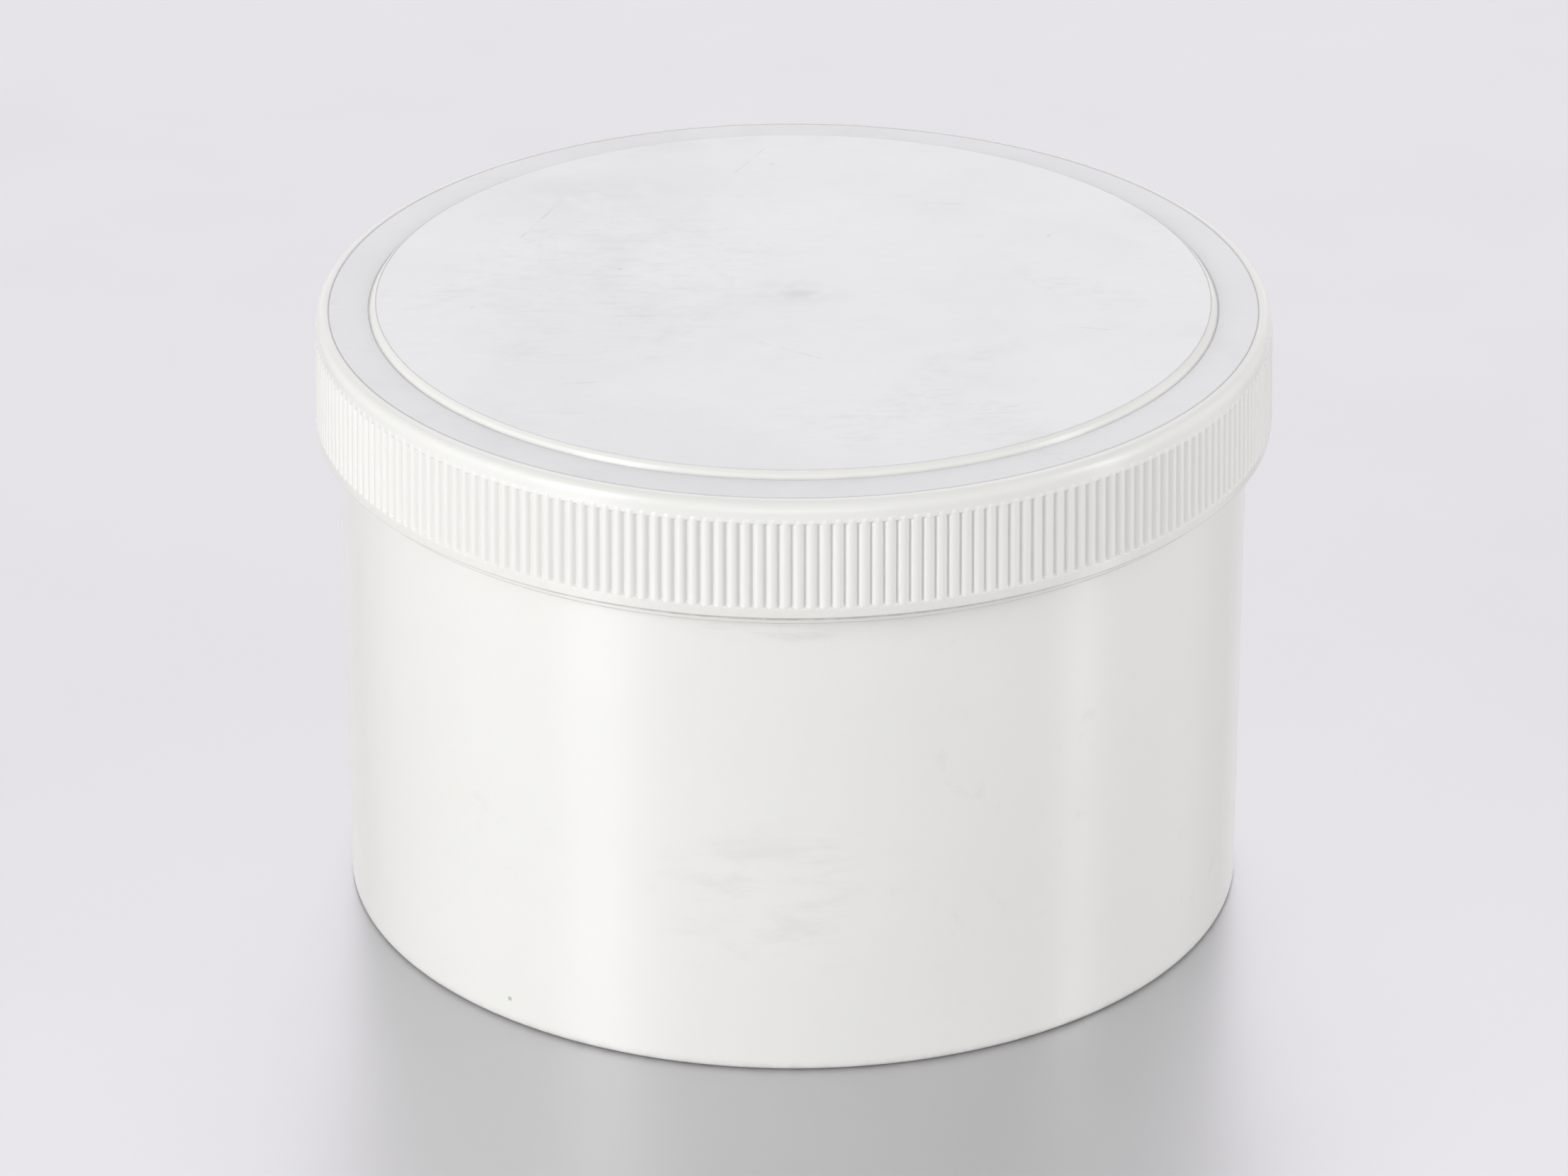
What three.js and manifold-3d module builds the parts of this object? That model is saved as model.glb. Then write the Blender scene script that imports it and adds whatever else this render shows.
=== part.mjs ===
// Wide-mouth one-litre plastic jar with a ribbed screw lid and a foam sealing liner.
// Millimetres, +Z up. The origin is the centre of the face that the jar stands on.

import * as THREE from 'three';
import { mergeVertices } from 'three/addons/utils/BufferGeometryUtils.js';
import Module from 'manifold-3d';

const wasm = await Module();
wasm.setup();

// Driving dimensions

const BODY_RADIUS = 65;
const BODY_WALL = 1.8;
const FLOOR_THICKNESS = 1.9;
const RIM_TOP = 85.05;

const LID_CREASE_RADIUS = 66.26;
const LID_FLAT_TOP = 88.85;
const LID_PLATE = 1.7;
const SKIRT_BOTTOM = 71.8;

const SKIRT_RADIUS_TOP = 68.05;
const SKIRT_DRAFT = 0.4;
const RIB_COUNT = 240;
const RIB_RELIEF = 0.4;
const RIB_TOP = 86;
const RIB_BOTTOM = 73.3;

const THREAD_LEAD = 5;
const GAP = 0.3;

// Jar: foot, walls and collar

const FOOT_RECESS_RADIUS = 61.3;
const FOOT_RECESS_DEPTH = 1.5;
const FOOT_RECESS_SLOPE = 0.4;
const FOOT_CORNER = 0.7;
const INNER_RADIUS_TOP = BODY_RADIUS - BODY_WALL;
const INNER_DRAFT = 0.3;
const INNER_CORNER = 3;
const NECK_RADIUS = INNER_RADIUS_TOP + 1.4;
const RIM_CORNER = 0.4;
const COLLAR_RADIUS = 66.6;
const COLLAR_BOTTOM = 70.2;
const COLLAR_TOP = SKIRT_BOTTOM - GAP;
const COLLAR_CORNER = 0.3;

// Lid: raised panel, corner and skirt

const PANEL_RISE = 1.05;
const PANEL_FOOT_RADIUS = 60.8;
const PANEL_EDGE_RADIUS = 59.35;
const CORNER_BOTTOM = 87.3;
const SKIRT_RADIUS_BOTTOM = SKIRT_RADIUS_TOP + SKIRT_DRAFT;
const GROOVE_SHARE = 0.38;
const GROOVE_PHASE = THREE.MathUtils.degToRad(-0.195);
const SKIRT_EDGE = 0.25;
const SKIRT_INNER_RADIUS = 66.4;

// Liner and the bead that keeps it in the lid

const LINER_RADIUS = 65.6;
const LINER_THICKNESS = 1.5;
const LINER_BOTTOM = RIM_TOP + GAP;
const LINER_POCKET_RADIUS = 66.1;
const BEAD_RADIUS = 65.05;
const BEAD_FLAT = 0.25;
const BEAD_RAMP = 0.4;

// Screw thread

const THREAD_DEPTH = 1.3;
const THREAD_BASE_HALF_WIDTH = 1;
const THREAD_TIP_HALF_WIDTH = 0.45;
const THREAD_EMBED = 0.4;
const THREAD_RUNOUT_TURNS = 0.06;
const THREAD_START = Math.PI / 2;
const JAR_THREAD_BOTTOM = 75.8;
const JAR_THREAD_TURNS = 1.5;
const LID_THREAD_BOTTOM = 74.2;
const LID_THREAD_TURNS = 1;

// Fineness of the faceted solids

const SIDES = 80;
const CORNER_STEPS = 3;
const THREAD_STEPS_PER_TURN = 48;

// A path of (radius, height) points turned about +Z. It starts and ends on the axis.
function turned(path) {
  const geometry = new THREE.LatheGeometry(path.getPoints(CORNER_STEPS), SIDES);
  return geometry.rotateX(Math.PI / 2);
}

function toSolid(geometry) {
  const bare = geometry.clone();
  bare.deleteAttribute('normal');
  bare.deleteAttribute('uv');
  const merged = mergeVertices(bare);
  const vertProperties = new Float32Array(merged.attributes.position.array);
  const triVerts = new Uint32Array(withoutFlatTriangles(merged.index.array));
  return new wasm.Manifold(new wasm.Mesh({ numProp: 3, vertProperties, triVerts }));
}

// Leaves out the triangles that close up where a turned profile meets its axis.
function withoutFlatTriangles(index) {
  const kept = [];
  for (let i = 0; i < index.length; i += 3) {
    const [a, b, c] = index.slice(i, i + 3);
    if (a !== b && b !== c && c !== a) {
      kept.push(a, b, c);
    }
  }
  return kept;
}

function toGeometry(solid) {
  const { vertProperties, triVerts } = solid.getMesh();
  const geometry = new THREE.BufferGeometry();
  geometry.setAttribute('position', new THREE.BufferAttribute(vertProperties, 3));
  geometry.setIndex(new THREE.BufferAttribute(triVerts, 1));
  geometry.computeVertexNormals();
  return geometry;
}

// A right-handed helical ridge that stands on a round wall and sinks into it at both ends.
// side is 1 for a ridge outside the wall and -1 for one inside it.
function threadRidge(wallRadius, side, bottom, turns) {
  const steps = Math.round(turns * THREAD_STEPS_PER_TURN);
  const positions = [];
  const index = [];
  for (let step = 0; step <= steps; step++) {
    const turn = (step / steps) * turns;
    const rise = Math.min(1, turn / THREAD_RUNOUT_TURNS, (turns - turn) / THREAD_RUNOUT_TURNS);
    const root = wallRadius - side * THREAD_EMBED;
    const tip = wallRadius + side * (THREAD_DEPTH * rise - THREAD_EMBED / 2 * (1 - rise));
    const corners = [
      [root, -THREAD_BASE_HALF_WIDTH],
      [tip, -THREAD_TIP_HALF_WIDTH],
      [tip, THREAD_TIP_HALF_WIDTH],
      [root, THREAD_BASE_HALF_WIDTH],
    ];
    if (side < 0) {
      corners.reverse();
    }
    const angle = THREAD_START + turn * 2 * Math.PI;
    for (const [radius, offset] of corners) {
      const height = bottom + turn * THREAD_LEAD + offset;
      positions.push(radius * Math.cos(angle), radius * Math.sin(angle), height);
    }
  }
  for (let step = 0; step < steps; step++) {
    for (let corner = 0; corner < 4; corner++) {
      const a = step * 4 + corner;
      const b = step * 4 + (corner + 1) % 4;
      index.push(a, a + 4, b + 4, a, b + 4, b);
    }
  }
  const last = steps * 4;
  index.push(0, 1, 2, 0, 2, 3);
  index.push(last, last + 2, last + 1, last, last + 3, last + 2);
  const geometry = new THREE.BufferGeometry();
  geometry.setAttribute('position', new THREE.Float32BufferAttribute(positions, 3));
  geometry.setIndex(index);
  return geometry;
}

// The grooves between the grip ribs: V-shaped bars round the skirt that lean outwards with its draft.
// Each bar is twice as deep as the relief, so that its open side clears the skirt.
function ribGrooves() {
  const pitch = 2 * Math.PI / RIB_COUNT;
  const innerRadius = SKIRT_RADIUS_TOP - RIB_RELIEF;
  const outerRadius = SKIRT_RADIUS_TOP + RIB_RELIEF;
  const halfAngle = pitch * GROOVE_SHARE;
  const shapes = [];
  for (let groove = 0; groove < RIB_COUNT; groove++) {
    const middle = GROOVE_PHASE + groove * pitch;
    shapes.push(new THREE.Shape([
      polar(innerRadius, middle),
      polar(outerRadius, middle - halfAngle),
      polar(outerRadius, middle + halfAngle),
    ]));
  }
  const height = RIB_TOP - RIB_BOTTOM;
  const geometry = new THREE.ExtrudeGeometry(shapes, { depth: height, bevelEnabled: false });
  geometry.translate(0, 0, RIB_BOTTOM);
  const position = geometry.attributes.position;
  for (let i = 0; i < position.count; i++) {
    const radius = Math.hypot(position.getX(i), position.getY(i));
    const drop = (RIB_TOP - position.getZ(i)) / height;
    const scale = (radius + SKIRT_DRAFT * drop) / radius;
    position.setX(i, position.getX(i) * scale);
    position.setY(i, position.getY(i) * scale);
  }
  return geometry;
}

function polar(radius, angle) {
  return new THREE.Vector2(radius * Math.cos(angle), radius * Math.sin(angle));
}

function jarBody() {
  const floorTop = FOOT_RECESS_DEPTH + FLOOR_THICKNESS;
  const innerRadiusBottom = INNER_RADIUS_TOP - INNER_DRAFT;
  const path = new THREE.Path();
  path.moveTo(0, FOOT_RECESS_DEPTH);
  path.lineTo(FOOT_RECESS_RADIUS - FOOT_RECESS_SLOPE, FOOT_RECESS_DEPTH);
  path.lineTo(FOOT_RECESS_RADIUS, 0);
  path.lineTo(BODY_RADIUS - FOOT_CORNER, 0);
  path.quadraticCurveTo(BODY_RADIUS, 0, BODY_RADIUS, FOOT_CORNER);
  path.lineTo(BODY_RADIUS, COLLAR_BOTTOM);
  path.lineTo(COLLAR_RADIUS - COLLAR_CORNER, COLLAR_BOTTOM);
  path.lineTo(COLLAR_RADIUS, COLLAR_BOTTOM + COLLAR_CORNER);
  path.lineTo(COLLAR_RADIUS, COLLAR_TOP - COLLAR_CORNER);
  path.lineTo(COLLAR_RADIUS - COLLAR_CORNER, COLLAR_TOP);
  path.lineTo(NECK_RADIUS, COLLAR_TOP);
  path.lineTo(NECK_RADIUS, RIM_TOP - RIM_CORNER);
  path.lineTo(NECK_RADIUS - RIM_CORNER, RIM_TOP);
  path.lineTo(INNER_RADIUS_TOP + RIM_CORNER, RIM_TOP);
  path.lineTo(INNER_RADIUS_TOP, RIM_TOP - RIM_CORNER);
  path.lineTo(innerRadiusBottom, floorTop + INNER_CORNER);
  path.quadraticCurveTo(innerRadiusBottom, floorTop, innerRadiusBottom - INNER_CORNER, floorTop);
  path.lineTo(0, floorTop);
  const ridge = threadRidge(NECK_RADIUS, 1, JAR_THREAD_BOTTOM, JAR_THREAD_TURNS);
  return toGeometry(toSolid(turned(path)).add(toSolid(ridge)));
}

function screwLid() {
  const plateUnder = LID_FLAT_TOP - LID_PLATE;
  const beadTop = LINER_BOTTOM - GAP;
  const beadRampTop = beadTop - BEAD_FLAT;
  const beadBottom = beadRampTop - BEAD_FLAT;
  const path = new THREE.Path();
  path.moveTo(0, plateUnder + PANEL_RISE);
  path.lineTo(PANEL_EDGE_RADIUS, plateUnder + PANEL_RISE);
  path.lineTo(PANEL_FOOT_RADIUS, plateUnder);
  path.lineTo(LINER_POCKET_RADIUS, plateUnder);
  path.lineTo(LINER_POCKET_RADIUS, beadTop);
  path.lineTo(BEAD_RADIUS, beadRampTop);
  path.lineTo(BEAD_RADIUS, beadBottom);
  path.lineTo(SKIRT_INNER_RADIUS, beadBottom - BEAD_RAMP);
  path.lineTo(SKIRT_INNER_RADIUS, SKIRT_BOTTOM);
  path.lineTo(SKIRT_RADIUS_BOTTOM - SKIRT_EDGE, SKIRT_BOTTOM);
  path.lineTo(SKIRT_RADIUS_BOTTOM, SKIRT_BOTTOM + SKIRT_EDGE);
  path.lineTo(SKIRT_RADIUS_BOTTOM, RIB_BOTTOM);
  path.lineTo(SKIRT_RADIUS_TOP, RIB_TOP);
  path.lineTo(SKIRT_RADIUS_TOP, CORNER_BOTTOM);
  path.quadraticCurveTo(SKIRT_RADIUS_TOP, LID_FLAT_TOP, LID_CREASE_RADIUS, LID_FLAT_TOP);
  path.lineTo(PANEL_FOOT_RADIUS, LID_FLAT_TOP);
  path.lineTo(PANEL_EDGE_RADIUS, LID_FLAT_TOP + PANEL_RISE);
  path.lineTo(0, LID_FLAT_TOP + PANEL_RISE);
  const ridge = threadRidge(SKIRT_INNER_RADIUS, -1, LID_THREAD_BOTTOM, LID_THREAD_TURNS);
  const ribbed = toSolid(turned(path)).subtract(toSolid(ribGrooves()));
  return toGeometry(ribbed.add(toSolid(ridge)));
}

function lidLiner() {
  const path = new THREE.Path();
  path.moveTo(0, LINER_BOTTOM);
  path.lineTo(LINER_RADIUS, LINER_BOTTOM);
  path.lineTo(LINER_RADIUS, LINER_BOTTOM + LINER_THICKNESS);
  path.lineTo(0, LINER_BOTTOM + LINER_THICKNESS);
  return toGeometry(toSolid(turned(path)));
}

function namedMesh(name, geometry, material) {
  const mesh = new THREE.Mesh(geometry, new THREE.MeshStandardMaterial(material));
  mesh.name = name;
  return mesh;
}

const jar = new THREE.Group();
jar.add(namedMesh('jar_body', jarBody(), { color: 0xeeeeeb, roughness: 0.38, metalness: 0 }));
jar.add(namedMesh('screw_lid', screwLid(), { color: 0xf0f0ef, roughness: 0.45, metalness: 0 }));
jar.add(namedMesh('lid_liner', lidLiner(), { color: 0xf4f4f2, roughness: 0.8, metalness: 0 }));

export default jar;
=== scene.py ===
"""A white one-litre screw-lid jar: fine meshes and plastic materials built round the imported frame."""

import math

import bpy
import numpy as np
from mathutils import Euler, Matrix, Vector


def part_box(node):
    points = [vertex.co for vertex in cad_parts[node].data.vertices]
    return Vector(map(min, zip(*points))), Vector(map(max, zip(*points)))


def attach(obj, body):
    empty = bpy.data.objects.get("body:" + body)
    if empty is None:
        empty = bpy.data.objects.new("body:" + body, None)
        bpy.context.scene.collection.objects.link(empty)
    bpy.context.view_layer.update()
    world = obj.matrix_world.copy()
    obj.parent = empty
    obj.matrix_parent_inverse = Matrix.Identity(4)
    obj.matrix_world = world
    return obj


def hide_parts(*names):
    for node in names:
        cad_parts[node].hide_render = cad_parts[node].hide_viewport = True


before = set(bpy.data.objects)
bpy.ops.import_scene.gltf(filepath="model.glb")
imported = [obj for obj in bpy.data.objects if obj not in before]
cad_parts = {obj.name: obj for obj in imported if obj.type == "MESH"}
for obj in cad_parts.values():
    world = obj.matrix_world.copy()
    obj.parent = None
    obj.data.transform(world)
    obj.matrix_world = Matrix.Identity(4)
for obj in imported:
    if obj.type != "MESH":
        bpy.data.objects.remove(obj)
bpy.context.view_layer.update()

MM = 0.001
TURN = 2 * math.pi

# Sizes of the jar, from the frame's boxes and a few wall and step sizes

jar_low, jar_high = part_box("jar_body")
lid_low, lid_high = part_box("screw_lid")
liner_low, liner_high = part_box("lid_liner")

GAP = 0.3 * MM
COLLAR_RADIUS = jar_high.x
BODY_RADIUS = COLLAR_RADIUS - 1.6 * MM
NECK_RADIUS = BODY_RADIUS - 0.4 * MM
MOUTH_RADIUS = NECK_RADIUS - 1.4 * MM
INNER_RADIUS_BOTTOM = MOUTH_RADIUS - 0.3 * MM
RIM_TOP = jar_high.z
SKIRT_BOTTOM = lid_low.z
COLLAR_TOP = SKIRT_BOTTOM - GAP
COLLAR_BOTTOM = COLLAR_TOP - 1.3 * MM
FLOOR_UNDER = 1.5 * MM
FLOOR_TOP = FLOOR_UNDER + 1.9 * MM
FOOT_INNER_RADIUS = BODY_RADIUS - 3.7 * MM
FLAT_RADIUS = 40 * MM
WALL_WAVE = 0.02 * MM

# The lid and its liner

SKIRT_RADIUS = lid_high.x
PANEL_TOP = lid_high.z
RING_TOP = PANEL_TOP - 1.05 * MM
LID_PLATE = 1.7 * MM
CREASE_RADIUS = SKIRT_RADIUS - 2.19 * MM
PANEL_EDGE = CREASE_RADIUS - 6.91 * MM
PANEL_FOOT = PANEL_EDGE + 0.9 * MM
SKIRT_INNER_RADIUS = SKIRT_RADIUS - 2.05 * MM
SKIRT_DRAFT = 0.4 * MM
PANEL_DISH = 0.12 * MM
PANEL_WAVE = 0.02 * MM
GATE_SINK = 0.1 * MM
GATE_RADIUS = 2.6 * MM
LINER_RADIUS = liner_high.x
RIM_PRINT = 0.15 * MM

# The skirt's ribs. A dome power of 0.5 makes a bar's section an ellipse, and 1 a parabola.

RIB_COUNT = 240
RIB_TOP = RING_TOP - 2.65 * MM
RIB_BOTTOM = SKIRT_BOTTOM + 1.5 * MM
RIB_PITCH = TURN * SKIRT_RADIUS / RIB_COUNT
RIB_HALF_WIDTH = 0.435 * RIB_PITCH
RIB_CAP = 0.35 * RIB_HALF_WIDTH
RIB_RELIEF = 0.5 * MM
RIB_DOME_POWER = 0.62
RIB_PROUD_BOTTOM = 0.04 * MM
RIB_PROUD_TOP = 0.14 * MM
RIB_PHASE = math.radians(0.555)
VALLEY_SHORTFALL = 0.35 * MM
VALLEY_RUNOUT = 0.4 * MM

# The screw thread. Half widths are measured along the height, and each bottom is where the ridge starts.

THREAD_LEAD = 5 * MM
THREAD_DEPTH = 1.3 * MM
THREAD_ROOT_HALF = 1.0 * MM
THREAD_TIP_HALF = 0.42 * MM
THREAD_START = TURN / 4
THREAD_RUNOUT_TURNS = 0.06
JAR_THREAD_BOTTOM = SKIRT_BOTTOM + 4 * MM
JAR_THREAD_TURNS = 1.5
LID_THREAD_BOTTOM = SKIRT_BOTTOM + 2.4 * MM
LID_THREAD_TURNS = 1.0

# Fineness

COLUMNS = 480
RIB_COLUMNS = RIB_COUNT * 10
THREAD_STEP = 0.25 * MM
WALL_STEP = 3 * MM

# Material numbers on the lid's mesh, in the order of lid_materials

GLOSS = 0
TOP = 1
INSIDE = 2

# Materials. TALL is in millimetres: a mark on the lid's top with this half height ignores the height.

GLOSS_IOR = 1.49
DULL_IOR = 1.5
TALL = 1000

# Studio and camera. The lens and sensor sizes are in millimetres.

FLOOR_SIZE = 6.0
LIGHT_DISTANCE = 1.5
CAMERA_ELEVATION = math.radians(25.94)
CAMERA_DISTANCE = 15.54 * CREASE_RADIUS
CAMERA_AIM = Vector((-0.0204 * CREASE_RADIUS, 0, 0.653 * CREASE_RADIUS))
CAMERA_LENS = 162.9
CAMERA_SENSOR = 36

# Colours

WHITE = (0.835, 0.835, 0.803, 1)
WHITE_SHADED = (0.807, 0.809, 0.776, 1)
WHITE_WORN = (0.70, 0.695, 0.67, 1)
TOP_WHITE = (0.87, 0.87, 0.887, 1)
TOP_SHADED = (0.815, 0.812, 0.826, 1)
TOP_WORN = (0.64, 0.63, 0.625, 1)
# Painted shade over the flat ring round the panel
RING_SHADE = (0.62, 0.61, 0.625, 1)
INSIDE_SHADED = (0.76, 0.762, 0.75, 1)
FOAM = (0.86, 0.86, 0.85, 1)
FOAM_PORES = (0.78, 0.78, 0.77, 1)
# Grey for real dirt and for painted shade at the collar, the foot, the skirt's bottom edge and the seams
GREY_DIRT_AND_SHADE = (0.33, 0.32, 0.29, 1)
# Brown for real dirt and scratches, and for painted shade in the rib valleys
BROWN_DIRT_AND_SHADE = (0.42, 0.38, 0.31, 1)
FLOOR_TONE = (0.645, 0.64, 0.66, 1)
FLOOR_TONE_DARK = (0.625, 0.62, 0.64, 1)
WORLD_SIDE_TONE = (0.75, 0.742, 0.752, 1)
WORLD_TOP_TONE = (0.22, 0.218, 0.222, 1)
REAR_TONE = (0.99, 0.97, 1.0)
REAR_HIGH_TONE = (0.99, 0.98, 1.0)


def same(a, b):
    """Whether two lengths are the same, to a hundredth of a millimetre."""
    return abs(a - b) < 0.01 * MM


# Profiles: lists of (radius, height) points

def rounded(corners, steps=6):
    """A profile from (radius, height, fillet) corners. Each corner with a fillet becomes an arc."""
    points = []
    for i, (radius, height, fillet) in enumerate(corners):
        here = Vector((radius, height))
        if fillet == 0:
            points.append(here)
            continue
        before = (Vector(corners[i - 1][:2]) - here).normalized()
        after = (Vector(corners[i + 1][:2]) - here).normalized()
        half = before.angle(after) / 2
        reach = fillet / math.tan(half)
        centre = here + (before + after).normalized() * (fillet / math.sin(half))
        first = here + before * reach - centre
        last = here + after * reach - centre
        sweep = math.pi - 2 * half
        for step in range(steps + 1):
            near_first = math.sin((1 - step / steps) * sweep) / math.sin(sweep)
            near_last = math.sin(step / steps * sweep) / math.sin(sweep)
            points.append(centre + first * near_first + last * near_last)
    return points


def held(points, edge=0.12 * MM, long=0.6 * MM):
    """Adds a point close to both ends of each long straight, so that flats shade as flats."""
    result = [points[0]]
    for a, b in zip(points, points[1:]):
        if (b - a).length > long:
            along = (b - a).normalized() * edge
            result += [a + along, b - along]
        result.append(b)
    return result


def stepped(points, step, inside):
    """Splits the straights whose two ends pass inside(point) into lengths of at most step."""
    result = [points[0]]
    for a, b in zip(points, points[1:]):
        if inside(a) and inside(b):
            count = math.ceil((b - a).length / step)
            result += [a.lerp(b, k / count) for k in range(1, count)]
        result.append(b)
    return result


# Surfaces: rings of points joined into one skin

def ring(point, count, shape=None):
    """A ring of points at a profile point. shape, if given, moves each point in radius and height."""
    angles = np.arange(count) * TURN / count
    radius = np.full(count, point.x)
    height = np.full(count, point.y)
    if shape:
        radius, height = shape(radius, height, angles)
    return np.stack((radius * np.cos(angles), radius * np.sin(angles), height), axis=1)


def fanned(few, many, first_few, first_many):
    """Triangles from a coarse ring to a fine ring that comes after it."""
    per = many // few
    middle = per // 2
    faces = []
    for i in range(few):
        here = first_few + i
        following = first_few + (i + 1) % few
        for k in range(per):
            near = first_many + i * per + k
            far = first_many + (i * per + k + 1) % many
            faces.append((here if k < middle else following, far, near))
            if k == middle:
                faces.append((here, following, near))
    return faces


def joined(a, b, first_a, first_b):
    """The faces between ring a and ring b, whose counts are 1, equal, or one a multiple of the other."""
    n = max(len(a), len(b))
    if len(a) == 1:
        return [(first_a, first_b + (i + 1) % n, first_b + i) for i in range(n)]
    if len(b) == 1:
        return [(first_a + i, first_a + (i + 1) % n, first_b) for i in range(n)]
    if len(a) < len(b):
        return fanned(len(a), len(b), first_a, first_b)
    if len(a) > len(b):
        return [tuple(reversed(face)) for face in fanned(len(b), len(a), first_b, first_a)]
    return [
        (first_a + i, first_a + (i + 1) % n, first_b + (i + 1) % n, first_b + i)
        for i in range(n)
    ]


def skin(name, rings, materials, marks=None):
    """A closed smooth object from rings in order. marks gives each ring's material number."""
    points = np.concatenate(rings)
    firsts = np.cumsum([0] + [len(r) for r in rings])
    faces = []
    numbers = []
    for k in range(len(rings) - 1):
        made = joined(rings[k], rings[k + 1], int(firsts[k]), int(firsts[k + 1]))
        faces += made
        numbers += [marks[k] if marks else 0] * len(made)
    mesh = bpy.data.meshes.new(name)
    mesh.from_pydata(points.tolist(), [], faces)
    mesh.polygons.foreach_set("material_index", numbers)
    mesh.polygons.foreach_set("use_smooth", [True] * len(faces))
    for material in materials:
        mesh.materials.append(material)
    mesh.update()
    piece = bpy.data.objects.new(name, mesh)
    bpy.context.scene.collection.objects.link(piece)
    return piece


def smooth_step(value):
    """0 up to 0, 1 from 1, and an S-shaped curve between."""
    value = np.clip(value, 0, 1)
    return value * value * (3 - 2 * value)


def thread_height(angles, height, bottom, turns):
    """How far a right-handed helical ridge stands out at each angle, at one height."""
    part = ((angles - THREAD_START) / TURN) % 1
    result = np.zeros(len(angles))
    for whole in range(math.ceil(turns)):
        turn = part + whole
        offset = np.abs(height - (bottom + turn * THREAD_LEAD))
        flank = smooth_step((THREAD_ROOT_HALF - offset) / (THREAD_ROOT_HALF - THREAD_TIP_HALF))
        fade = smooth_step(np.minimum(turn, turns - turn) / THREAD_RUNOUT_TURNS)
        result = np.maximum(result, THREAD_DEPTH * flank * fade)
    return result


# The jar

def on_neck(radius, height):
    """Whether a point is on the neck's outside, where the thread is."""
    return same(radius, NECK_RADIUS) and height > COLLAR_TOP


def jar_shape(radius, height, angles):
    """Adds the neck's thread, and the slight waviness of a moulded wall."""
    z = height[0]
    if on_neck(radius[0], z):
        return radius + thread_height(angles, height, JAR_THREAD_BOTTOM, JAR_THREAD_TURNS), height
    if same(radius[0], BODY_RADIUS):
        slow = np.sin(3 * angles + 0.8) * math.sin(z / (13 * MM))
        quick = np.sin(5 * angles - z / (21 * MM))
        return radius + WALL_WAVE * (slow + 0.6 * quick), height
    return radius, height


def jar_rings():
    """From the middle of the base, up the outside, over the rim and down to the middle of the floor."""
    corners = [
        (0, FLOOR_UNDER + 0.25 * MM, 0),
        (2.2 * MM, FLOOR_UNDER + 0.2 * MM, 0.3 * MM),
        (2.6 * MM, FLOOR_UNDER, 0.3 * MM),
        (FLAT_RADIUS, FLOOR_UNDER, 0),
        (FOOT_INNER_RADIUS - 0.4 * MM, FLOOR_UNDER, 0.5 * MM),
        (FOOT_INNER_RADIUS, 0, 0.3 * MM),
        (BODY_RADIUS, 0, 0.75 * MM),
        (BODY_RADIUS, COLLAR_BOTTOM, 0.3 * MM),
        (COLLAR_RADIUS, COLLAR_BOTTOM, 0.3 * MM),
        (COLLAR_RADIUS, COLLAR_TOP, 0.3 * MM),
        (NECK_RADIUS, COLLAR_TOP, 0.25 * MM),
        (NECK_RADIUS, RIM_TOP, 0.45 * MM),
        (MOUTH_RADIUS, RIM_TOP, 0.45 * MM),
        (INNER_RADIUS_BOTTOM, FLOOR_TOP, 3 * MM),
        (FLAT_RADIUS, FLOOR_TOP, 0),
        (3 * MM, FLOOR_TOP, 0),
        (0, FLOOR_TOP, 0),
    ]
    points = held(rounded(corners))
    points = stepped(points, THREAD_STEP, lambda p: on_neck(p.x, p.y))
    points = stepped(points, WALL_STEP, lambda p: same(p.x, BODY_RADIUS))
    rings = [ring(p, COLUMNS, jar_shape) for p in points[1:-1]]
    return [ring(points[0], 1), *rings, ring(points[-1], 1)]


# The lid

def skirt_radius(height):
    """The smooth bands' radius. The skirt widens downwards with the mould's draft."""
    drop = (RIB_TOP - height) / (RIB_TOP - RIB_BOTTOM)
    return float(SKIRT_RADIUS - RIB_PROUD_BOTTOM - SKIRT_DRAFT * (1 - np.clip(drop, -0.2, 1)))


def rib_shape(radius, height, angles):
    """Rounded bars that stand a little proud of the bands above and below, with narrow valleys between."""
    z = height[0]
    band = skirt_radius(z)
    share = np.clip((z - RIB_BOTTOM) / (RIB_TOP - RIB_BOTTOM), 0, 1)
    proud = RIB_PROUD_BOTTOM + (RIB_PROUD_TOP - RIB_PROUD_BOTTOM) * share
    across = (((angles - RIB_PHASE) * RIB_COUNT / TURN + 0.5) % 1 - 0.5) * RIB_PITCH
    beyond = max(0, z - (RIB_TOP - RIB_CAP), RIB_BOTTOM + RIB_CAP - z)
    away = np.sqrt(across ** 2 + beyond ** 2) / RIB_HALF_WIDTH
    dome = RIB_RELIEF * np.maximum(1 - away ** 2, 0) ** RIB_DOME_POWER
    into_valley = min(z - RIB_BOTTOM, RIB_TOP - VALLEY_SHORTFALL - z)
    valley = band - (RIB_RELIEF - proud) * smooth_step(into_valley / VALLEY_RUNOUT)
    return np.maximum(band + proud - RIB_RELIEF + dome, valley), height


def rib_heights():
    """Heights of the rings over the ribs, closest together at the tips."""
    tip = [e * MM for e in (-0.1, 0.0, 0.08, 0.16, 0.24, 0.32, 0.42, 0.54, 0.68, 0.84, 1.1, 2.0)]
    low = RIB_BOTTOM + tip[-1]
    high = RIB_TOP - tip[-1]
    heights = [RIB_BOTTOM + e for e in tip]
    heights += [low + (high - low) * k / 6 for k in range(1, 6)]
    heights += [RIB_TOP - e for e in reversed(tip)]
    return heights


def lid_inner_shape(radius, height, angles):
    """Adds the lid's thread on the inside of the skirt."""
    if not same(radius[0], SKIRT_INNER_RADIUS):
        return radius, height
    return radius - thread_height(angles, height, LID_THREAD_BOTTOM, LID_THREAD_TURNS), height


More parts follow.
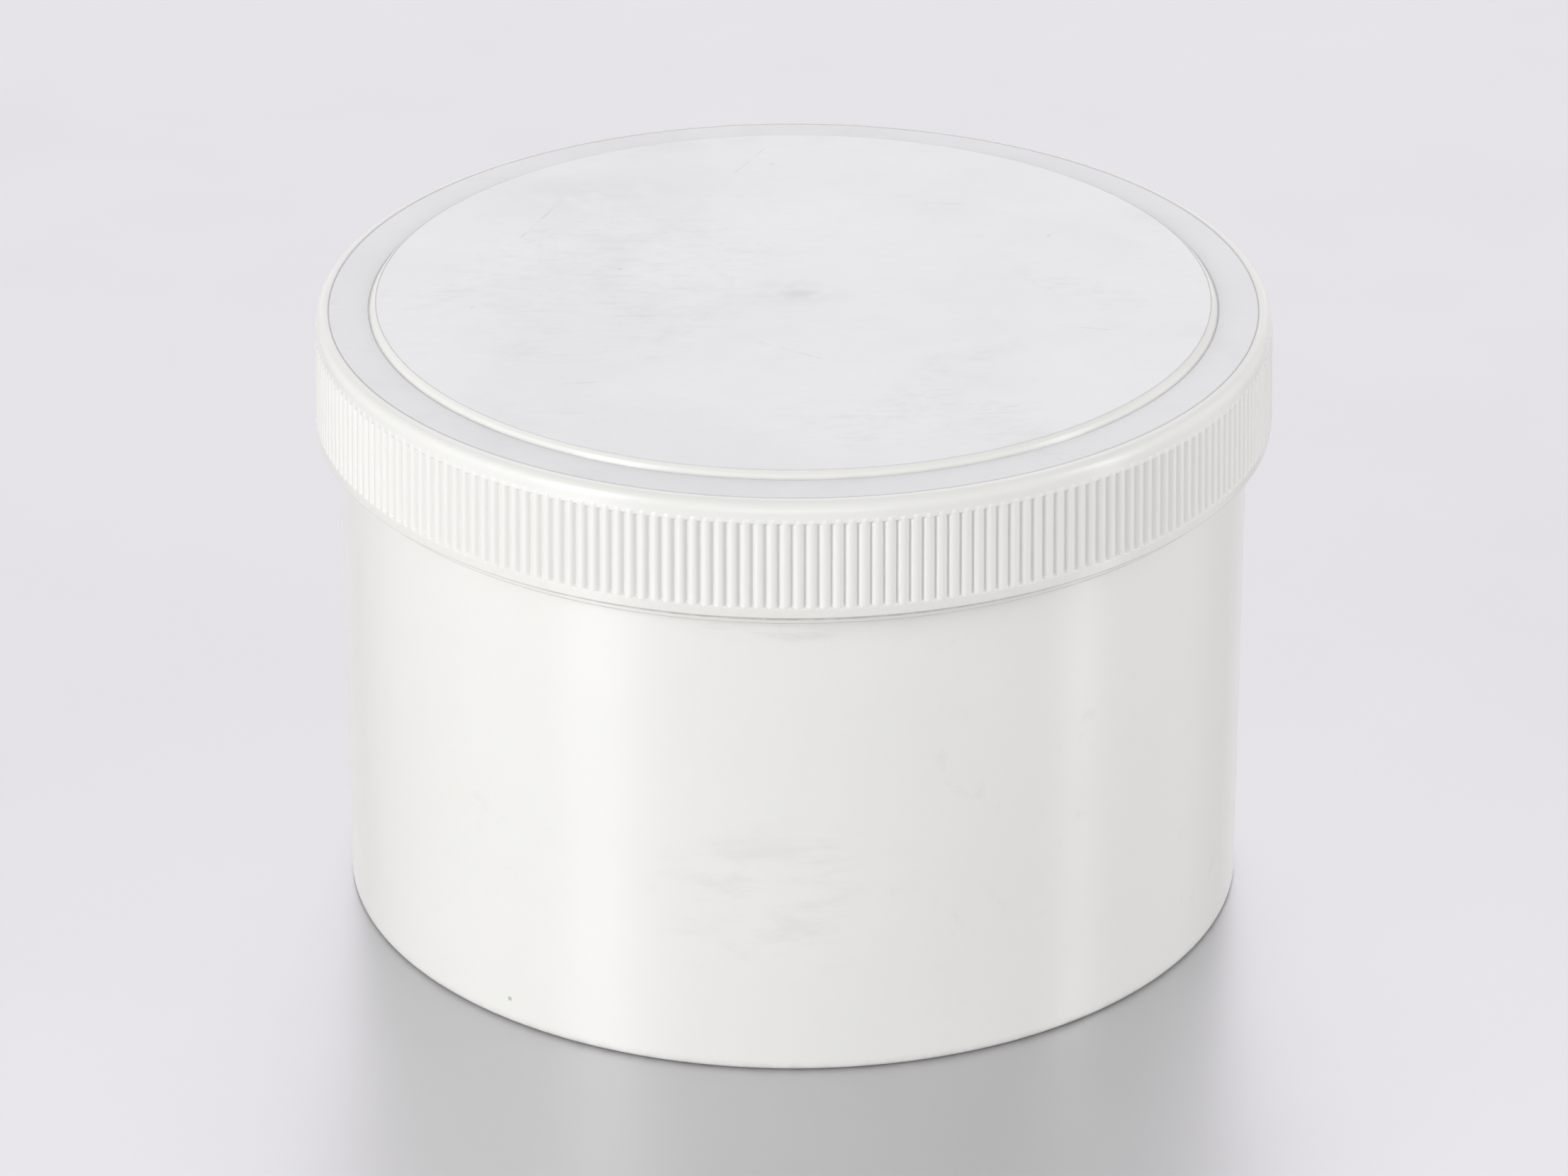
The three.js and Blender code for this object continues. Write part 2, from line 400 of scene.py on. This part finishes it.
def lid_top_shape(radius, height, angles):
    """The panel is dished a little, with a shallow sink round the moulding gate."""
    if radius[0] > PANEL_EDGE:
        return radius, height
    share = radius / PANEL_EDGE
    dish = PANEL_DISH * (1 - share ** 2)
    wave = PANEL_WAVE * np.sin(2 * angles + 0.6) * share * (1 - share)
    sink = GATE_SINK * np.exp(-((radius / GATE_RADIUS) ** 2))
    return radius, height - dish - sink + wave


def lid_inside_profile():
    """From the middle of the plate's underside, past the liner's pocket and bead, to under the ribs."""
    panel_under = PANEL_TOP - LID_PLATE
    plate_under = RING_TOP - LID_PLATE
    pocket_radius = LINER_RADIUS + 0.5 * MM
    bead_radius = LINER_RADIUS - 0.55 * MM
    bead_top = liner_low.z - GAP
    band_radius = skirt_radius(RIB_BOTTOM)
    corners = [
        (0, panel_under, 0),
        (FLAT_RADIUS, panel_under, 0),
        (PANEL_EDGE, panel_under, 0.3 * MM),
        (PANEL_FOOT + 0.55 * MM, plate_under, 0.3 * MM),
        (pocket_radius, plate_under, 0.4 * MM),
        (pocket_radius, bead_top, 0.15 * MM),
        (bead_radius, bead_top - 0.25 * MM, 0.1 * MM),
        (bead_radius, bead_top - 0.5 * MM, 0.1 * MM),
        (SKIRT_INNER_RADIUS, bead_top - 0.9 * MM, 0.3 * MM),
        (SKIRT_INNER_RADIUS, SKIRT_BOTTOM, 0.25 * MM),
        (band_radius, SKIRT_BOTTOM, 0.3 * MM),
        (band_radius, RIB_BOTTOM - 0.3 * MM, 0),
    ]
    return stepped(held(rounded(corners)), THREAD_STEP, lambda p: same(p.x, SKIRT_INNER_RADIUS))


def lid_outside_profile():
    """From above the ribs, over the rounded corner, the crease, the ring and the step, to near the middle."""
    band_foot = RIB_TOP + 0.3 * MM
    corners = [
        (skirt_radius(band_foot), band_foot, 0),
        (skirt_radius(RING_TOP), RING_TOP, 1.6 * MM),
        (CREASE_RADIUS, RING_TOP, 0),
        (CREASE_RADIUS - 0.14 * MM, RING_TOP - 0.2 * MM, 0.04 * MM),
        (CREASE_RADIUS - 0.34 * MM, RING_TOP, 0.05 * MM),
        (PANEL_FOOT + 0.3 * MM, RING_TOP, 0.04 * MM),
        (PANEL_FOOT + 0.08 * MM, RING_TOP - 0.16 * MM, 0.04 * MM),
        (PANEL_FOOT - 0.33 * MM, RING_TOP + 0.57 * MM, 0.35 * MM),
        (PANEL_EDGE + 0.1 * MM, PANEL_TOP - 0.04 * MM, 0.08 * MM),
        (PANEL_EDGE, PANEL_TOP - 0.16 * MM, 0.04 * MM),
        (PANEL_EDGE - 0.14 * MM, PANEL_TOP, 0.05 * MM),
        (PANEL_EDGE - 2 * MM, PANEL_TOP, 0),
    ]
    panel = [PANEL_EDGE - 4 * MM * k for k in range(1, 14)]
    panel += [4.5 * MM, 3 * MM, 2 * MM, 1 * MM]
    return held(rounded(corners, steps=5)) + [Vector((r, PANEL_TOP)) for r in panel]


def lid_rings():
    """The lid's rings, and the material number of the surface that follows each."""
    inside = lid_inside_profile()
    rings = [ring(inside[0], 1)]
    rings += [ring(p, COLUMNS, lid_inner_shape) for p in inside[1:]]
    marks = [GLOSS if p.x > SKIRT_INNER_RADIUS + 0.3 * MM else INSIDE for p in inside]
    for z in rib_heights():
        rings.append(ring(Vector((0, z)), RIB_COLUMNS, rib_shape))
        marks.append(GLOSS)
    for p in lid_outside_profile():
        rings.append(ring(p, COLUMNS, lid_top_shape))
        on_step = PANEL_EDGE < p.x < PANEL_FOOT + 0.2 * MM
        marks.append(GLOSS if p.x > CREASE_RADIUS or on_step else TOP)
    rings.append(np.array([[0, 0, PANEL_TOP - 0.25 * MM]]))
    return rings, marks


def liner_rings():
    """A flat disc with the jar's rim pressed a little into its underside."""
    print_top = liner_low.z + RIM_PRINT
    corners = [
        (0, liner_low.z, 0),
        (FLAT_RADIUS, liner_low.z, 0),
        (MOUTH_RADIUS - 0.2 * MM, liner_low.z, 0.1 * MM),
        (MOUTH_RADIUS, print_top, 0.1 * MM),
        (NECK_RADIUS, print_top, 0.1 * MM),
        (NECK_RADIUS + 0.2 * MM, liner_low.z, 0.1 * MM),
        (LINER_RADIUS, liner_low.z, 0.35 * MM),
        (LINER_RADIUS, liner_high.z, 0.35 * MM),
        (FLAT_RADIUS, liner_high.z, 0),
        (0, liner_high.z, 0),
    ]
    points = held(rounded(corners))
    rings = [ring(p, COLUMNS) for p in points[1:-1]]
    return [ring(points[0], 1), *rings, ring(points[-1], 1)]


# Materials

class Graph:
    """A material's node tree, with short calls to add nodes."""

    def __init__(self, name):
        self.material = bpy.data.materials.new(name)
        self.material.use_nodes = True
        self.tree = self.material.node_tree
        self.tree.nodes.clear()
        self.shader = self.node("ShaderNodeBsdfPrincipled")
        output = self.node("ShaderNodeOutputMaterial")
        self.tree.links.new(self.shader.outputs["BSDF"], output.inputs["Surface"])
        self.position = self.node("ShaderNodeTexCoord").outputs["Object"]

    def node(self, kind, inputs=None, **settings):
        node = self.tree.nodes.new(kind)
        for key, value in settings.items():
            setattr(node, key, value)
        for key, value in (inputs or {}).items():
            self.give(node.inputs[key], value)
        return node

    def give(self, socket, value):
        if isinstance(value, bpy.types.NodeSocket):
            self.tree.links.new(value, socket)
        else:
            socket.default_value = value

    def math(self, operation, a, b=0.0):
        return self.node("ShaderNodeMath", {0: a, 1: b}, operation=operation).outputs[0]

    def product(self, *values):
        result = values[0]
        for value in values[1:]:
            result = self.math("MULTIPLY", result, value)
        return result

    def most(self, *values):
        """The largest of the values."""
        result = values[0]
        for value in values[1:]:
            result = self.math("MAXIMUM", result, value)
        return result

    def between(self, value, low, high, to_low=0.0, to_high=1.0):
        """value from low..high mapped smoothly to to_low..to_high."""
        inputs = {"Value": value, "From Min": low, "From Max": high, "To Min": to_low, "To Max": to_high}
        return self.node("ShaderNodeMapRange", inputs, interpolation_type="SMOOTHSTEP").outputs["Result"]

    def mixed(self, share, a, b):
        node = self.node("ShaderNodeMix", data_type="RGBA")
        self.give(node.inputs[0], share)
        self.give(node.inputs[6], a)
        self.give(node.inputs[7], b)
        return node.outputs[2]

    def noise(self, scale, detail=4.0, roughness=0.5, vector=None, distortion=0.0):
        inputs = {
            "Vector": vector or self.position,
            "Scale": scale,
            "Detail": detail,
            "Roughness": roughness,
            "Distortion": distortion,
        }
        return self.node("ShaderNodeTexNoise", inputs).outputs["Fac"]

    def moved(self, scale=(1, 1, 1), rotation=(0, 0, 0), location=(0, 0, 0)):
        inputs = {"Vector": self.position, "Scale": scale, "Rotation": rotation, "Location": location}
        return self.node("ShaderNodeMapping", inputs).outputs["Vector"]

    def bump(self, height, distance, strength=1.0, normal=None):
        inputs = {"Height": height, "Distance": distance, "Strength": strength}
        if normal:
            inputs["Normal"] = normal
        return self.node("ShaderNodeBump", inputs).outputs["Normal"]

    def parts(self, vector):
        return self.node("ShaderNodeSeparateXYZ", {"Vector": vector}).outputs

    def polar(self):
        """Sockets for the distance from the jar's axis, the angle round it and the height."""
        parts = self.parts(self.position)
        squares = self.math("ADD", self.math("POWER", parts["X"], 2.0), self.math("POWER", parts["Y"], 2.0))
        angle = self.math("ARCTAN2", parts["Y"], parts["X"])
        return self.math("SQRT", squares), angle, parts["Z"]

    def placed(self, centre, size, turn=0.0):
        """Coordinates that run from -1 to 1 over a box. Millimetres and degrees; size is its half sizes."""
        inputs = {
            "Vector": self.position,
            "Location": [c * MM for c in centre],
            "Scale": [half * MM for half in size],
            "Rotation": (0, 0, math.radians(turn)),
        }
        return self.node("ShaderNodeMapping", inputs, vector_type="TEXTURE").outputs["Vector"]

    def blot(self, centre, size, turn=0.0, core=0.2):
        """1 in the core of an ellipsoid, fading to 0 at its edge. core is a share of its half sizes."""
        length = self.node("ShaderNodeVectorMath", {0: self.placed(centre, size, turn)}, operation="LENGTH")
        return self.between(length.outputs["Value"], core, 1.0, 1.0, 0.0)

    def spot(self, x, y, half_x, half_y, turn=0.0, core=0.2):
        """A blot on the lid's top, at x, y."""
        return self.blot((x, y, PANEL_TOP / MM), (half_x, half_y, TALL), turn, core)

    def stroke(self, x, y, length, width, turn):
        """1 on a thin line on the lid's top, fading at its ends and edges. x, y is its middle."""
        parts = self.parts(self.placed((x, y, 0), (length / 2, width / 2, TALL), turn))
        along = self.between(self.math("ABSOLUTE", parts["X"]), 0.7, 1.0, 1.0, 0.0)
        across = self.between(self.math("ABSOLUTE", parts["Y"]), 0.2, 1.0, 1.0, 0.0)
        return self.product(along, across)

    def streaks(self, fine, stretch, low, high, turn=0.0):
        """Short broken streaks, longer than wide by stretch, turned by some degrees from the x axis."""
        place = self.moved(scale=(fine / stretch, fine, fine), rotation=(0, 0, math.radians(turn)))
        return self.between(self.noise(1.0, 4.0, 0.6, place, 0.3), low, high)

    def finish(self, colour, roughness, normal=None, ior=GLOSS_IOR):
        self.give(self.shader.inputs["Base Color"], colour)
        self.give(self.shader.inputs["Roughness"], roughness)
        if normal:
            self.give(self.shader.inputs["Normal"], normal)
        self.shader.inputs["IOR"].default_value = ior
        return self.material


def jar_wear(g):
    """Small rubbed specks all over, a rubbed patch low on the front and a smear under the collar."""
    specks = g.between(g.noise(160.0, 6.0, 0.7), 0.57, 0.75)
    small = g.product(specks, g.between(g.noise(20.0, 2.0), 0.5, 0.65))
    front = -BODY_RADIUS / MM
    rub = g.product(g.blot((-2, front, 28), (26, 22, 17)), g.streaks(260.0, 3.5, 0.45, 0.7, 20))
    smear = g.product(g.blot((-3, front, 68.4), (14, 20, 2.2)), g.streaks(500.0, 8.0, 0.42, 0.7))
    return g.most(g.product(small, 0.35), g.product(rub, 0.4), g.product(smear, 0.9))


def jar_dirt_and_shade(g, radius, height):
    """Painted shade, with some dirt, on and under the collar and at the foot, and one dark speck of dirt near
    the foot.
    """
    mottle = g.between(g.noise(420.0, 5.0, 0.65), 0.35, 0.7, 0.35, 1.0)
    # Painted shade with some dirt: the top of the collar's wall, under the skirt's overhang
    crevice = g.product(
        g.between(height, COLLAR_BOTTOM + 0.52 * MM, COLLAR_BOTTOM + 0.75 * MM),
        g.between(radius, BODY_RADIUS + 0.2 * MM, BODY_RADIUS + 0.6 * MM),
        mottle,
        0.7,
    )
    # Painted shade with some dirt: a band just under the collar's bottom edge
    under = g.product(
        g.between(height, COLLAR_BOTTOM - 0.4 * MM, COLLAR_BOTTOM - 0.05 * MM),
        g.between(height, COLLAR_BOTTOM + 0.25 * MM, COLLAR_BOTTOM + 0.05 * MM),
        mottle,
        0.6,
    )
    # Painted shade: darker over the last 1.6 mm towards the foot
    foot = g.product(g.between(height, 1.6 * MM, 0.1 * MM), mottle, 0.35)
    speck = g.product(g.blot((-40, -51.2, 3.8), (0.5, 0.6, 0.5)), 0.7)
    return g.most(crevice, under, foot, speck)


def jar_plastic():
    """Glossy white with slight clouding, wear and dirt, and painted shade at the collar and the foot."""
    g = Graph("jar_white_gloss_plastic")
    radius, _, height = g.polar()
    cloud = g.between(g.noise(30.0, 4.0), 0.3, 0.7)
    wear = jar_wear(g)
    colour = g.mixed(g.product(cloud, 0.5), WHITE, WHITE_SHADED)
    colour = g.mixed(wear, colour, WHITE_WORN)
    # Painted shade at the collar and the foot, mixed with a real dirt speck
    colour = g.mixed(jar_dirt_and_shade(g, radius, height), colour, GREY_DIRT_AND_SHADE)
    roughness = g.between(g.math("ADD", g.product(cloud, 0.5), wear), 0.0, 1.0, 0.2, 0.265)
    grain = g.bump(g.noise(1700.0, 3.0), 0.004 * MM)
    ripple = g.bump(g.noise(60.0, 2.0), 0.04 * MM, 1.0, grain)
    return g.finish(colour, roughness, ripple)


def seam_shade(g, radius, height):
    """Fine lines of painted shade in the lid's three seams: the panel's edge, its foot and the crease."""
    seams = [
        (PANEL_EDGE, 0.16 * MM, 0.2),
        (PANEL_FOOT + 0.08 * MM, 0.24 * MM, 0.22),
        (CREASE_RADIUS - 0.14 * MM, 0.2 * MM, 0.1),
    ]
    lines = []
    for middle, half_width, depth in seams:
        away = g.math("ABSOLUTE", g.math("SUBTRACT", radius, middle))
        lines.append(g.between(away, 0.4 * half_width, half_width, depth, 0.0))
    on_top = g.between(height, RING_TOP - 0.5 * MM, RING_TOP - 0.25 * MM)
    return g.product(g.most(*lines), on_top)


def rib_valley_shade(g, angle, height, mottle):
    """Painted shade in the valleys between the ribs."""
    wave = g.math("COSINE", g.product(g.math("SUBTRACT", angle, RIB_PHASE), float(RIB_COUNT)))
    above_foot = g.between(height, RIB_BOTTOM, RIB_BOTTOM + 0.6 * MM)
    below_top = g.between(height, RIB_TOP - 0.4 * MM, RIB_TOP - 1.0 * MM)
    return g.product(g.between(wave, -0.6, -0.95), above_foot, below_top, mottle, 0.08)


def lid_gloss_plastic():
    """The skirt and rounded corner: glossy, with a little painted shade in the valleys and seams, and painted
    shade with some dirt along the bottom edge.
    """
    g = Graph("lid_white_gloss_plastic")
    radius, angle, height = g.polar()
    cloud = g.between(g.noise(45.0, 4.0), 0.3, 0.7)
    mottle = g.between(g.noise(300.0, 4.0, 0.6), 0.3, 0.7, 0.5, 1.0)
    # Painted shade with some dirt along the skirt's bottom edge, over the gap
    edge = g.product(g.between(height, SKIRT_BOTTOM + 0.3 * MM, SKIRT_BOTTOM), mottle, 0.5)
    specks = g.between(g.noise(900.0, 4.0, 0.7), 0.3, 0.7, 0.6, 1.3)
    band = g.product(g.between(height, RIB_BOTTOM + 0.3 * MM, RIB_BOTTOM - 0.1 * MM), specks, 0.08)
    colour = g.mixed(g.product(cloud, 0.4), WHITE, WHITE_SHADED)
    # Painted shade in the rib valleys
    colour = g.mixed(rib_valley_shade(g, angle, height, mottle), colour, BROWN_DIRT_AND_SHADE)
    colour = g.mixed(edge, colour, GREY_DIRT_AND_SHADE)
    colour = g.mixed(band, colour, BROWN_DIRT_AND_SHADE)
    # Painted shade in the seams
    colour = g.mixed(g.product(seam_shade(g, radius, height), mottle), colour, GREY_DIRT_AND_SHADE)
    roughness = g.between(g.noise(120.0, 4.0), 0.3, 0.7, 0.2, 0.265)
    return g.finish(colour, roughness, g.bump(g.noise(1500.0, 4.0, 0.6), 0.007 * MM))


def lid_scratches(g):
    """Hairline scratches and small dots on the panel, broken up by noise. Millimetres and degrees."""
    scratches = [
        # x, y, length, width, direction
        (-6.6, 49.0, 12.7, 0.35, 65),
        (-37.4, 25.4, 14.1, 0.45, 68),
        (30.0, -38.7, 10.3, 0.4, 17),
        (-0.5, -19.7, 13.2, 0.5, -34),
        (41.0, -12.0, 9.0, 0.35, -12),
        (-30.0, -31.0, 8.0, 0.35, 8),
        (22.0, 33.0, 7.0, 0.3, -5),
    ]
    dots = [(-3.1, 48.0), (-45.5, -4.7), (-24.8, 9.0), (14.0, -24.0), (37.0, 21.0)]
    marks = [g.stroke(*scratch) for scratch in scratches]
    marks += [g.spot(x, y, 0.45, 0.6) for x, y in dots]
    broken = g.between(g.noise(650.0, 4.0, 0.7), 0.36, 0.62)
    return g.product(g.most(*marks), broken)


def lid_scuffs(g):
    """Fine crossed scuffs in cloudy patches, with a clean strip towards the front right."""
    clouds = g.between(g.noise(26.0, 3.0, 0.55, g.moved(location=(3.1, 1.7, 0))), 0.46, 0.64)
    patches = g.between(clouds, 0.0, 1.0, 0.25, 1.0)
    fine = g.most(g.streaks(700.0, 4.0, 0.5, 0.72), g.streaks(1300.0, 3.0, 0.5, 0.75, -25))
    blotches = g.between(g.noise(70.0, 6.0, 0.68, distortion=0.6), 0.44, 0.68)
    rubbed = g.math("ADD", g.product(fine, 0.55), g.product(blotches, 0.45))
    across = g.parts(g.placed((37, -18, 0), (24, 4.4, TALL), -70))["Y"]
    strip = g.product(
        g.between(g.math("ABSOLUTE", across), 0.9, 1.05, 1.0, 0.0),
        g.spot(37, -18, 30, 30, 0, 0.6),
    )
    return g.product(patches, rubbed, g.math("SUBTRACT", 1.0, strip))


def lid_smudges(g, radius):
    """The grey smudge in the middle with its darker core, a patch at the back left, and the worn edge."""
    smudge = g.product(g.spot(0, 0.5, 11, 7.5, -6, 0.0), g.between(g.noise(210.0, 5.0, 0.6), 0.3, 0.62))
    core = g.product(g.spot(0.8, 0.2, 5.5, 3.2, 0, 0.0), g.between(g.noise(330.0, 4.0, 0.6), 0.25, 0.55))
    patch = g.product(g.spot(-31, 36, 22, 14, 15, 0.1), g.between(g.noise(150.0, 5.0, 0.6), 0.3, 0.6))
    near_edge = g.between(radius, PANEL_EDGE - 7 * MM, PANEL_EDGE - 1 * MM)
    worn_edge = g.product(near_edge, g.between(g.noise(60.0, 5.0, 0.6), 0.5, 0.7))
    shares = [(smudge, 0.42), (core, 0.6), (patch, 0.3), (worn_edge, 0.22)]
    return g.most(*[g.product(mark, share) for mark, share in shares])


def lid_top_plastic():
    """The lid's top: duller than the skirt, scuffed and smudged, with painted shade making the flat ring a
    little greyer, and painted shade in the seams.
    """
    g = Graph("lid_white_worn_top")
    radius, _, height = g.polar()
    cloud = g.between(g.noise(22.0, 5.0, 0.6), 0.35, 0.68)
    scuffs = lid_scuffs(g)
    colour = g.mixed(g.product(cloud, 0.75), TOP_WHITE, TOP_SHADED)
    colour = g.mixed(g.most(g.product(scuffs, 0.4), lid_smudges(g, radius)), colour, TOP_WORN)
    # Painted shade: the flat ring a little darker
    colour = g.mixed(g.between(radius, PANEL_EDGE, PANEL_FOOT, 0.0, 0.22), colour, RING_SHADE)
    colour = g.mixed(g.product(lid_scratches(g), 0.3), colour, BROWN_DIRT_AND_SHADE)
    # Painted shade in the seams
    colour = g.mixed(seam_shade(g, radius, height), colour, GREY_DIRT_AND_SHADE)
    roughness = g.between(g.math("ADD", cloud, g.product(scuffs, 1.5)), 0.0, 2.0, 0.29, 0.42)
    return g.finish(colour, roughness, g.bump(g.noise(2300.0, 4.0, 0.6), 0.009 * MM))


def lid_inside_plastic():
    """The lid's inside: clean, and duller than the outside."""
    g = Graph("lid_white_inside")
    colour = g.mixed(g.between(g.noise(40.0, 3.0), 0.3, 0.7), WHITE, INSIDE_SHADED)
    roughness = g.between(g.noise(200.0, 3.0), 0.3, 0.7, 0.35, 0.45)
    return g.finish(colour, roughness, g.bump(g.noise(1500.0, 3.0), 0.005 * MM), DULL_IOR)


def liner_foam():
    """White foam with fine cells."""
    g = Graph("liner_white_foam")
    cells = g.node("ShaderNodeTexVoronoi", {"Vector": g.position, "Scale": 2600.0}).outputs["Distance"]
    colour = g.mixed(g.between(cells, 0.0, 0.6), FOAM, FOAM_PORES)
    roughness = g.between(cells, 0.0, 0.6, 0.75, 0.9)
    return g.finish(colour, roughness, g.bump(cells, 0.06 * MM, 0.7), DULL_IOR)


def floor_material():
    """A pale satin floor that mirrors the lights softly."""
    g = Graph("studio_floor")
    g.shader.inputs["Metallic"].default_value = 0.85
    colour = g.mixed(g.noise(9.0, 3.0), FLOOR_TONE, FLOOR_TONE_DARK)
    roughness = g.between(g.noise(30.0, 3.0), 0.3, 0.7, 0.3, 0.34)
    return g.finish(colour, roughness, ior=DULL_IOR)


# Studio

def softbox(name, azimuth, elevation, wide, high, radiance, tone=(1, 1, 1)):
    """A rectangular light that faces the jar. Angles in degrees: azimuth 0 is behind the camera, 90 is at
    its right, and wide and high are the angles that the light spans as the jar sees it."""
    a = math.radians(azimuth)
    e = math.radians(elevation)
    light = bpy.data.lights.new(name, "AREA")
    light.shape = "RECTANGLE"
    light.size = 2 * LIGHT_DISTANCE * math.tan(math.radians(wide / 2)) * math.cos(e)
    light.size_y = 2 * LIGHT_DISTANCE * math.tan(math.radians(high / 2))
    light.energy = radiance * math.pi * light.size * light.size_y
    light.color = tone
    lamp = bpy.data.objects.new(name, light)
    away = Vector((math.sin(a) * math.cos(e), -math.cos(a) * math.cos(e), math.sin(e)))
    lamp.location = Vector((0, 0, RIM_TOP / 2)) + away * LIGHT_DISTANCE
    lamp.rotation_euler = away.to_track_quat("Z", "Y").to_euler()
    lamp.visible_camera = False
    bpy.context.scene.collection.objects.link(lamp)


def studio_world():
    """Soft light from all round that gets weaker overhead."""
    world = bpy.data.worlds.new("studio")
    world.use_nodes = True
    tree = world.node_tree
    place = tree.nodes.new("ShaderNodeTexCoord")
    parts = tree.nodes.new("ShaderNodeSeparateXYZ")
    fade = tree.nodes.new("ShaderNodeMapRange")
    fade.inputs["From Min"].default_value = 0.45
    fade.inputs["From Max"].default_value = 1.0
    mix = tree.nodes.new("ShaderNodeMix")
    mix.data_type = "RGBA"
    mix.inputs[6].default_value = WORLD_SIDE_TONE
    mix.inputs[7].default_value = WORLD_TOP_TONE
    tree.links.new(place.outputs["Generated"], parts.inputs[0])
    tree.links.new(parts.outputs["Z"], fade.inputs["Value"])
    tree.links.new(fade.outputs["Result"], mix.inputs[0])
    tree.links.new(mix.outputs[2], tree.nodes["Background"].inputs["Color"])
    bpy.context.scene.world = world


def studio_floor():
    """A square floor at height 0."""
    half = FLOOR_SIZE / 2
    mesh = bpy.data.meshes.new("studio_floor")
    corners = [(-half, -half, 0), (half, -half, 0), (half, half, 0), (-half, half, 0)]
    mesh.from_pydata(corners, [], [(0, 1, 2, 3)])
    mesh.materials.append(floor_material())
    floor = bpy.data.objects.new("studio_floor", mesh)
    bpy.context.scene.collection.objects.link(floor)


def studio_lights():
    """Two lights behind, two at the left, one low in front and two at the right."""
    softbox("rear_softbox", 180, 19, 60, 38, 0.53, REAR_TONE)
    softbox("rear_high_softbox", 180, 50, 60, 22, 1.6, REAR_HIGH_TONE)
    softbox("left_softbox", -62, 19, 56, 38, 0.8)
    softbox("left_key_light", -49, 19, 18, 38, 4.6)
    softbox("front_softbox", 0, 9, 40, 19, 1.5)
    softbox("right_softbox", 96, 19, 56, 38, 0.64)
    softbox("right_strip_light", 76, 19, 7, 38, 6.6)


def camera():
    """The view: from the front, 26 degrees above the horizon, through a long lens."""
    away = Vector((0, -math.cos(CAMERA_ELEVATION), math.sin(CAMERA_ELEVATION)))
    lens = bpy.data.cameras.new("camera")
    lens.sensor_width = CAMERA_SENSOR
    lens.lens = CAMERA_LENS
    lens.clip_start = 0.01
    lens.clip_end = 20
    eye = bpy.data.objects.new("camera", lens)
    eye.location = CAMERA_AIM + CAMERA_DISTANCE * away
    eye.rotation_euler = Euler((math.pi / 2 - CAMERA_ELEVATION, 0, 0))
    bpy.context.scene.collection.objects.link(eye)
    bpy.context.scene.camera = eye


bpy.context.scene.view_settings.view_transform = "Standard"
camera()
studio_world()
studio_floor()
studio_lights()

jar = skin("jar_shell", jar_rings(), [jar_plastic()])
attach(jar, "jar")
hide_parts("jar_body")

lid_surface, lid_marks = lid_rings()
lid_materials = [lid_gloss_plastic(), lid_top_plastic(), lid_inside_plastic()]
lid = skin("lid_shell", lid_surface, lid_materials, lid_marks)
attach(lid, "lid")
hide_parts("screw_lid")

liner = skin("liner_disc", liner_rings(), [liner_foam()])
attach(liner, "liner")
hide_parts("lid_liner")
